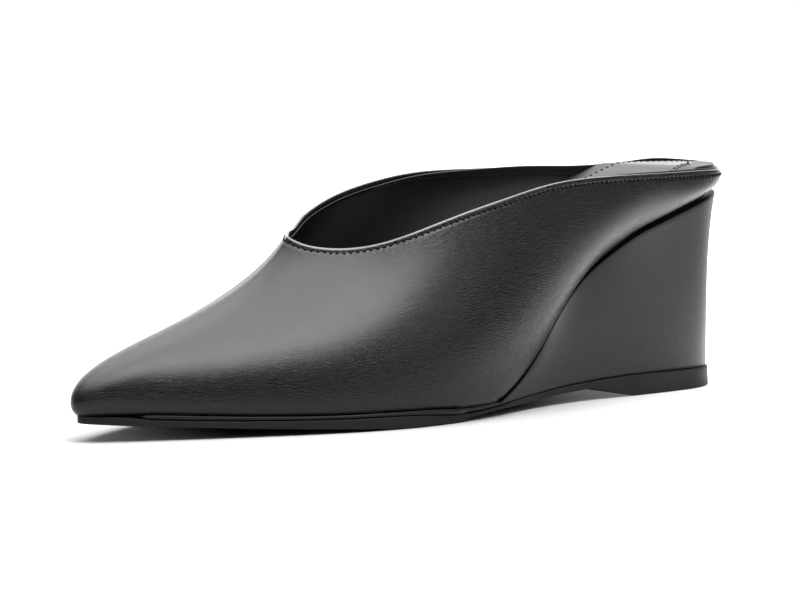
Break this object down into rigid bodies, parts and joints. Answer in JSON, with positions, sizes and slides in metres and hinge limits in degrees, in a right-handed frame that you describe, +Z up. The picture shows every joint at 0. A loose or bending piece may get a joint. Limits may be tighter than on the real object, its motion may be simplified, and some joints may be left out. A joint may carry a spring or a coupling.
{
  "type": "wedge mule",
  "caption": "Backless pointed slip-on shoe with a one-piece leather upper, a low throat, a leather-covered wedge heel and a thin sole with a thicker heel lift; left foot.",
  "frame": {"origin": "middle of the bounding box in plan, on the floor plane that heel lift and forefoot stand on", "axes": "+X to the outer side of the left foot, toe at -Y, heel at +Y, +Z up"},
  "size_m": [0.0776, 0.2476, 0.0697],
  "materials": {
    "upper_leather": "smooth black calf, semi-gloss, fine grain",
    "insole_leather": "smooth black leather over a thin pad",
    "wedge_leather": "smooth black leather, more matte than the upper",
    "midsole_rubber": "black, satin",
    "outsole_rubber": "black, matte"
  },
  "bodies": {
    "root": {"upper": "upper_leather", "insole": "insole_leather", "wedge_heel": "wedge_leather", "midsole": "midsole_rubber", "outsole": "outsole_rubber"}
  },
  "joints": []
}
